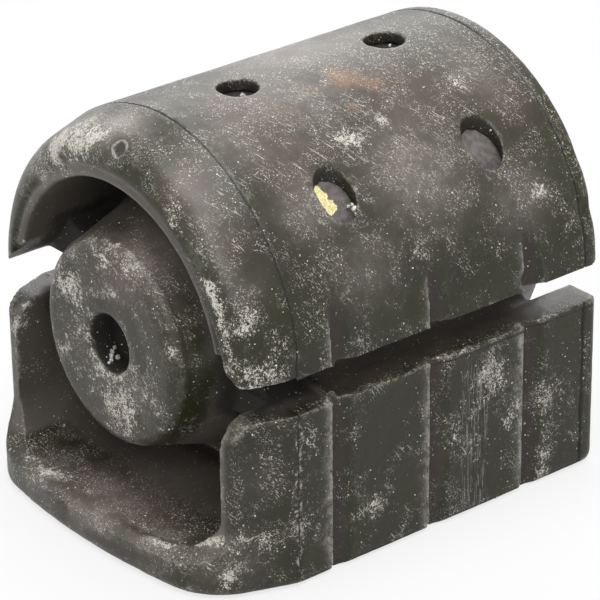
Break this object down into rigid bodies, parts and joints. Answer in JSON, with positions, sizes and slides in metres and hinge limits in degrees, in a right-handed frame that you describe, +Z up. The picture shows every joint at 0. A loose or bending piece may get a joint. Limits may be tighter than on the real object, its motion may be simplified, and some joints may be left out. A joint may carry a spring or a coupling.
{
  "type": "control arm bushing",
  "caption": "Rubber bushing of D section for a suspension control arm, with a blind stem socket and a steel half shell moulded in.",
  "frame": {"origin": "middle of the flat base, under the centre of the bushing's box", "axes": "+Z up from the flat base, +Y along the bushing's axis and out of its stem socket, +X across"},
  "size_m": [0.06, 0.0728, 0.0627],
  "materials": {
    "rubber": "matte",
    "passivated_steel": "satin"
  },
  "bodies": {
    "root": {"rubber_body": "rubber", "steel_shell": "passivated_steel"}
  },
  "joints": []
}
